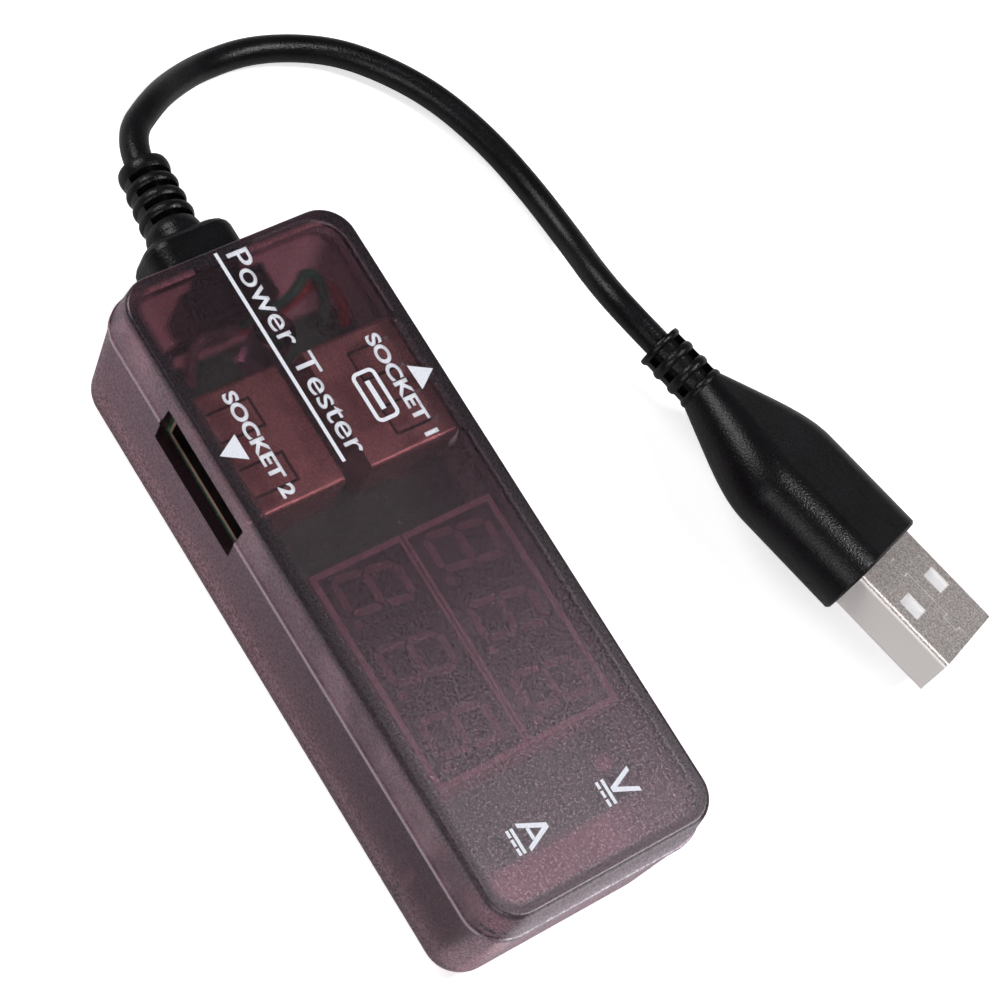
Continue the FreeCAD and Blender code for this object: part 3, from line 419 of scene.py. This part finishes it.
def plated_sheet():
    """Nickel-plated sheet: speckled on the upward face and smooth on the folded sides, with painted
    reflection that makes the upward face darker and the folded sides pale.
    """
    m = Nodes("plated_sheet")
    mottle = m.noise(5200.0, detail=4.0, roughness=0.75)
    # Painted reflection: the upward face is darker and the folded sides pale.
    speckled = m.ramp(mottle, (0.40, (0.40, 0.34, 0.32)), (0.62, (0.94, 0.88, 0.86)))
    smooth = m.ramp(mottle, (0.3, (0.93, 0.88, 0.85)), (0.7, (0.99, 0.95, 0.93)))
    facing = m.tree.nodes.new("ShaderNodeSeparateXYZ")
    m.tree.links.new(m.tree.nodes.new("ShaderNodeNewGeometry").outputs["Normal"], facing.inputs[0])
    upward = m.step(facing.outputs["Z"], 0.80, 0.05)
    rough = m.math("ADD", m.math("MULTIPLY", mottle, 0.2), 0.30)
    shader = m.add("BsdfPrincipled", Base_Color=m.mix(upward, smooth, speckled), Roughness=rough,
                   Metallic=m.math("ADD", m.math("MULTIPLY", upward, 0.35), 0.25),
                   Normal=m.bump(mottle, strength=0.12, distance=0.03 * MM))
    return m.finish(shader)


# The hollow of a socket's shell, in metres: its ends, its heights and its depths either side of the middle.
SOCKET_ENDS = (-21.8 * MM, -9.2 * MM)
SOCKET_HEIGHTS = (11.15 * MM, 16.35 * MM)
SOCKET_DEPTHS = (1.8 * MM, 11.1 * MM)


def socket_sheet():
    """Warm dull tin outside, with painted shade that makes the inside of the hollow near black."""
    m = Nodes("socket_sheet")
    mottle = m.noise(700.0, detail=3.0)
    fine = m.noise(5000.0, detail=1.0)
    outside = m.ramp(mottle, (0.3, (0.65, 0.42, 0.34)), (0.7, (0.90, 0.61, 0.49)))
    # Painted shade over the inside of the hollow.
    inside = m.ramp(mottle, (0.3, (0.010, 0.006, 0.006)), (0.7, (0.030, 0.018, 0.016)))
    soft = 0.04 * MM
    shaded_hollow = m.span(m.axis("Z"), *SOCKET_HEIGHTS, soft)
    shaded_hollow = m.math("MULTIPLY", shaded_hollow, m.span(m.axis("X"), *SOCKET_ENDS, soft))
    shaded_hollow = m.math("MULTIPLY", shaded_hollow, m.span(m.math("ABSOLUTE", m.axis("Y")), *SOCKET_DEPTHS, soft))
    shader = m.add("BsdfPrincipled", Base_Color=m.mix(shaded_hollow, outside, inside), Metallic=0.6, Roughness=0.42,
                   Normal=m.bump(fine, strength=0.15, distance=0.03 * MM))
    return m.finish(shader)


def plain_plastic(name, dark, light, rough=0.45, metallic=0.0):
    """A moulded or printed surface: two near tones, mottled, with a fine bump."""
    m = Nodes(name)
    mottle = m.noise(900.0, detail=3.0)
    fine = m.noise(5400.0, detail=1.0)
    colour = m.ramp(mottle, (0.3, dark), (0.7, light))
    roughness = m.math("ADD", m.math("MULTIPLY", fine, 0.15), rough - 0.07)
    shader = m.add("BsdfPrincipled", Base_Color=colour, Roughness=roughness, Metallic=metallic,
                   Normal=m.bump(fine, strength=0.15, distance=0.03 * MM))
    return m.finish(shader)


def circuit_laminate():
    """Green solder mask with copper pours and traces under it."""
    m = Nodes("circuit_laminate")
    weave = m.noise(1500.0, detail=2.0)
    blocks = m.add("TexBrick", Scale=1.0, Mortar_Size=0.09, Mortar_Smooth=0.1, Brick_Width=1.3,
                   Row_Height=0.55)
    m.tree.links.new(m.mapped(700.0), blocks.inputs["Vector"])
    mask = m.mix(weave, (0.030, 0.150, 0.085), (0.050, 0.230, 0.135))
    colour = m.mix(blocks.outputs["Fac"], mask, (0.085, 0.320, 0.190))
    shader = m.add("BsdfPrincipled", Base_Color=colour, Roughness=0.38,
                   Normal=m.bump(blocks.outputs["Fac"], strength=0.2, distance=0.04 * MM))
    return m.finish(shader)


def display_case_material():
    """Black printed face with a paler bare edge all round, and paler sides."""
    m = Nodes("display_case")
    mottle = m.noise(1200.0, detail=3.0)
    face = m.ramp(mottle, (0.3, (0.012, 0.010, 0.013)), (0.7, (0.022, 0.019, 0.024)))
    bare = m.ramp(mottle, (0.3, (0.56, 0.38, 0.39)), (0.7, (0.72, 0.49, 0.51)))
    low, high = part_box("voltmeter_case")
    edge = 0.6 * MM
    x_part = m.span(m.axis("X"), low.x + edge, high.x - edge, 0.05 * MM)
    y_part = m.span(m.math("ABSOLUTE", m.axis("Y")), low.y + edge / 2, high.y - edge, 0.05 * MM)
    top = m.span(m.axis("Z"), high.z - edge, high.z + 1.0 * MM, 0.02 * MM)
    inside = m.math("MULTIPLY", m.math("MULTIPLY", x_part, y_part), top)
    shader = m.add("BsdfPrincipled", Base_Color=m.mix(inside, bare, face), Roughness=0.45)
    return m.finish(shader)


paint(smoke_plastic("smoke_plastic_lid", shade=1.0, milk=(0.062, 0.042, 0.053), least_cover=0.16, glow=0.0),
      "top_shell")
paint(smoke_plastic("smoke_plastic_base", shade=0.92, milk=(0.95, 0.54, 0.58), least_cover=0.26, glow=0.36),
      "bottom_shell")
paint(satin_black(), lead, "strain_relief", "plug_overmould", "cord_inner_end")
paint(plated_sheet(), "plug_shell")
paint(socket_sheet(), "socket_1_shell", "socket_2_shell")
paint(circuit_laminate(), "circuit_board")
paint(plain_plastic("chip_resin", (0.02, 0.02, 0.02), (0.04, 0.04, 0.045), rough=0.5),
      "microcontroller", "voltage_regulator", "shunt_resistor", "chip_resistors")
paint(plain_plastic("fired_ceramic", (0.45, 0.32, 0.20), (0.60, 0.45, 0.30), rough=0.5), "ceramic_capacitors")
paint(plain_plastic("insulator_black", (0.015, 0.015, 0.017), (0.03, 0.03, 0.034), rough=0.5),
      "socket_1_insulator", "socket_2_insulator")
paint(plain_plastic("insulator_white", (0.80, 0.80, 0.82), (0.90, 0.90, 0.92)), "plug_insulator")
paint(plain_plastic("contact_metal", (0.72, 0.52, 0.22), (0.85, 0.65, 0.32), rough=0.25, metallic=1.0),
      "socket_1_contacts", "socket_2_contacts", "plug_contacts", "voltmeter_pins", "ammeter_pins")
paint(display_case_material(), "voltmeter_case", "ammeter_case")
paint(plain_plastic("segment_resin", (0.28, 0.17, 0.19), (0.38, 0.23, 0.26), rough=0.4),
      "voltmeter_segments", "ammeter_segments")
WIRE_COLOURS = {
    "red": ((0.85, 0.02, 0.03), (1.0, 0.05, 0.05)),
    "green": ((0.02, 0.30, 0.14), (0.04, 0.42, 0.22)),
    "black": ((0.01, 0.01, 0.01), (0.02, 0.02, 0.02)),
    "white": ((0.22, 0.17, 0.17), (0.32, 0.25, 0.25)),
}
for tone, (dark, light) in WIRE_COLOURS.items():
    paint(plain_plastic(tone + "_insulation", dark, light, rough=0.35), "wire_" + tone)

# ---------------------------------------------------------------- printing on the lid

# Places and sizes of the printing are in millimetres. A weight thickens letters by a share of their size.
LID_Z = 19.0
INK_THICKNESS = 0.02
FINEST_DETAIL = 0.003
TITLE_WEIGHT = 0.006
CAPTION_WEIGHT = 0.034
CAPTION_HEIGHT = 1.5


def ink():
    """White printing ink, slightly uneven."""
    m = Nodes("white_ink")
    fine = m.noise(9000.0, detail=2.0)
    colour = m.ramp(fine, (0.25, (0.62, 0.64, 0.72)), (0.6, (0.88, 0.90, 0.97)))
    shader = m.add("BsdfPrincipled", Base_Color=colour, Roughness=0.55,
                   Normal=m.bump(fine, strength=0.4, distance=0.03 * MM))
    return m.finish(shader)


white_ink = ink()


def lettering(name, words, left, right, baseline, height, weight):
    """Words printed along +X, stretched to the given span and height."""
    curve = bpy.data.curves.new(name, "FONT")
    curve.body = words
    curve.size = 1.0
    curve.offset = weight
    piece = bpy.data.objects.new(name, curve)
    bpy.context.scene.collection.objects.link(piece)
    bpy.context.view_layer.update()
    corners = [Vector(c) for c in piece.bound_box]
    low_x = min(c.x for c in corners)
    low_y = min(c.y for c in corners)
    wide = max(c.x for c in corners) - low_x
    tall = max(c.y for c in corners) - low_y
    scale_x = (right - left) / wide * MM
    scale_y = height / tall * MM
    mesh = bpy.data.meshes.new_from_object(piece)
    bpy.data.objects.remove(piece)
    for vertex in mesh.vertices:
        vertex.co.x = left * MM + (vertex.co.x - low_x) * scale_x
        vertex.co.y = baseline * MM + (vertex.co.y - low_y) * scale_y
        vertex.co.z = LID_Z * MM
    return print_piece(name, mesh)


def outline_mesh(name, loops):
    """Flat closed outlines, each a list of (x, y) in millimetres, on the lid."""
    shape = bmesh.new()
    for loop in loops:
        shape.faces.new([shape.verts.new(mm(x, y, LID_Z)) for x, y in loop])
    mesh = bpy.data.meshes.new(name)
    shape.to_mesh(mesh)
    shape.free()
    return print_piece(name, mesh)


def print_piece(name, mesh):
    """Give flat printing its thickness and its ink.

    Each slab is built face by face in the flat mesh's own order, so that every run gives the same mesh.
    """
    flat = bmesh.new()
    flat.from_mesh(mesh)
    bmesh.ops.remove_doubles(flat, verts=flat.verts, dist=FINEST_DETAIL * MM)
    bmesh.ops.dissolve_degenerate(flat, edges=flat.edges, dist=FINEST_DETAIL * MM)
    flat.normal_update()
    for face in flat.faces:
        if face.normal.z < 0:
            face.normal_flip()
    flat.verts.index_update()
    lower = [vertex.co.copy() for vertex in flat.verts]
    upper = [place + mm(0, 0, INK_THICKNESS) for place in lower]
    rise = len(lower)
    faces, smooth = [], []
    for face in flat.faces:
        corners = [vertex.index for vertex in face.verts]
        faces.append([corner + rise for corner in corners])
        faces.append(corners[::-1])
        for loop in face.loops:
            if loop.edge.is_boundary:
                start, end = loop.vert.index, loop.link_loop_next.vert.index
                faces.append([start, end, end + rise, start + rise])
        smooth += [face.smooth] * (len(faces) - len(smooth))
    flat.free()
    mesh.clear_geometry()
    mesh.from_pydata(lower + upper, [], faces)
    mesh.polygons.foreach_set("use_smooth", smooth)
    mesh.materials.clear()
    mesh.materials.append(white_ink)
    return add(name, mesh, "wire_white")


def bar(left, right, low, high):
    return [(left, low), (right, low), (right, high), (left, high)]


def chevron(tip, left, right, width):
    """A V, or an upside-down one: two straight arms of one width that meet at a blunt tip."""
    height = (left[1] + right[1]) / 2 - tip[1]
    half_span = (right[0] - left[0]) / 2
    half_arm = width * math.hypot(height, half_span) / abs(height) / 2
    notch = tip[1] + half_arm * height / half_span + math.copysign(0.4 * half_arm, height)
    return [(left[0] - half_arm, left[1]), (left[0] + half_arm, left[1]), (tip[0], notch),
            (right[0] - half_arm, right[1]), (right[0] + half_arm, right[1]),
            (tip[0] + half_arm, tip[1]), (tip[0] - half_arm, tip[1])]


def rounded_ring(x, y, half_x, half_y, radius, width):
    """A rounded rectangle drawn with a line of one width, as flat four-sided pieces."""
    turns = 6
    outer, inner = [], []
    for corner, (sign_x, sign_y) in enumerate(((1, 1), (-1, 1), (-1, -1), (1, -1))):
        middle_x = x + sign_x * (half_x - radius)
        middle_y = y + sign_y * (half_y - radius)
        for step in range(turns + 1):
            angle = math.radians(90 * (corner + step / turns))
            for loop, reach in ((outer, radius), (inner, radius - width)):
                loop.append((middle_x + reach * math.cos(angle), middle_y + reach * math.sin(angle)))
    return [[outer[k - 1], outer[k], inner[k], inner[k - 1]] for k in range(len(outer))]


def direct_current_mark(name, left, solid, dashes):
    """A solid line with three dashes beside it."""
    length, thickness = 2.5, 0.32
    dash, pitch, dash_thickness = 0.7, 0.9, 0.3
    bars = [bar(left, left + length, solid, solid + thickness)]
    for start in (left + pitch * step for step in range(3)):
        bars.append(bar(start, start + dash, dashes, dashes + dash_thickness))
    outline_mesh(name, bars)


def print_lid():
    """The title and its underline, the two sockets' captions and arrows, and the two displays' marks."""
    lettering("print_title", "Power Tester", left=-32.9, right=-10.4, baseline=-0.78, height=2.25,
              weight=TITLE_WEIGHT)
    outline_mesh("print_underline", [bar(-33.4, -10.2, -1.78, -1.42)])
    lettering("print_socket_1", "SOCKET 1", left=-20.3, right=-9.1, baseline=6.9, height=CAPTION_HEIGHT,
              weight=CAPTION_WEIGHT)
    outline_mesh("print_arrow_1", [[(-14.83, 11.35), (-16.1, 9.16), (-13.4, 9.24)]])
    port = rounded_ring(x=-14.75, y=4.75, half_x=2.7, half_y=1.3, radius=0.7, width=0.38)
    outline_mesh("print_port", port + [bar(-16.3, -13.2, 4.5, 5.0)])
    lettering("print_socket_2", "SOCKET 2", left=-20.6, right=-9.3, baseline=-8.75, height=CAPTION_HEIGHT,
              weight=CAPTION_WEIGHT)
    outline_mesh("print_arrow_2", [[(-15.4, -11.95), (-14.0, -9.58), (-16.73, -9.58)]])
    arm = 0.42
    outline_mesh("print_volts", [chevron((27.55, 3.75), (26.5, 6.3), (28.65, 6.3), arm)])
    outline_mesh("print_amps", [chevron((27.55, -3.5), (26.35, -6.2), (28.75, -6.2), arm),
                                bar(26.98, 28.12, -5.55, -5.2)])
    direct_current_mark("print_direct_current_1", left=26.31, solid=3.24, dashes=2.65)
    direct_current_mark("print_direct_current_2", left=26.36, solid=-6.95, dashes=-7.42)


print_lid()

# ---------------------------------------------------------------- studio

# Each light: its name, the way to it from the case, its distance and width in metres, and its power in watts.
LIGHTS = (
    ("key", (0.22, 0.45, 0.87), 0.8, 0.22, 3.4),
    ("side", (-0.75, -0.35, 0.70), 0.9, 0.45, 3.2),
    ("front", (0.55, -0.75, 0.75), 0.9, 0.55, 2.4),
)
WORLD_STRENGTH = 0.45
FLOOR_HALF = 2.0
FLOOR_GLOW = 0.62


def soft_light(name, direction, distance, size, power):
    data = bpy.data.lights.new(name, "AREA")
    data.shape = "DISK"
    data.size = size
    data.energy = power
    light = bpy.data.objects.new(name, data)
    away = Vector(direction).normalized()
    facing = away.to_track_quat("Z", "Y").to_matrix().to_4x4()
    light.matrix_world = Matrix.Translation(away * distance) @ facing
    bpy.context.scene.collection.objects.link(light)


def make_world():
    """A dim room that is darker overhead."""
    world = bpy.data.worlds.new("studio")
    bpy.context.scene.world = world
    world.use_nodes = True
    tree = world.node_tree
    background = tree.nodes["Background"]
    background.inputs["Strength"].default_value = WORLD_STRENGTH
    coords = tree.nodes.new("ShaderNodeTexCoord")
    split = tree.nodes.new("ShaderNodeSeparateXYZ")
    ramp = tree.nodes.new("ShaderNodeValToRGB")
    horizon, overhead = ramp.color_ramp.elements
    horizon.position = 0.5
    horizon.color = (0.24, 0.235, 0.24, 1)
    overhead.position = 0.85
    overhead.color = (0.12, 0.12, 0.12, 1)
    tree.links.new(coords.outputs["Generated"], split.inputs[0])
    tree.links.new(split.outputs["Z"], ramp.inputs["Fac"])
    tree.links.new(ramp.outputs["Color"], background.inputs["Color"])


def make_floor():
    """A pale floor that is greyer where the case reflects or bends it, so the plastic isn't washed out."""
    mesh = bpy.data.meshes.new("floor")
    half = FLOOR_HALF
    corners = [(-half, -half, 0), (half, -half, 0), (half, half, 0), (-half, half, 0)]
    mesh.from_pydata(corners, [], [(0, 1, 2, 3)])
    floor = bpy.data.objects.new("floor", mesh)
    bpy.context.scene.collection.objects.link(floor)
    m = Nodes("pale_floor")
    pale = m.ramp(m.noise(30.0), (0.0, 0.88), (1.0, 0.91))
    seen = m.add("BsdfPrincipled", Base_Color=pale, Roughness=0.9, Emission_Color=(1.0, 1.0, 1.0, 1.0),
                 Emission_Strength=FLOOR_GLOW)
    reflected = m.add("BsdfPrincipled", Base_Color=(0.52, 0.51, 0.52, 1.0), Roughness=0.9)
    path = m.tree.nodes.new("ShaderNodeLightPath")
    mesh.materials.append(m.finish(m.blend(path.outputs["Is Camera Ray"], reflected, seen)))


make_world()
for light in LIGHTS:
    soft_light(*light)
make_floor()
bpy.context.scene.view_settings.view_transform = "Standard"


def write_sizes():
    """Bring the scene's view layer up to date."""
    bpy.context.view_layer.update()


write_sizes()
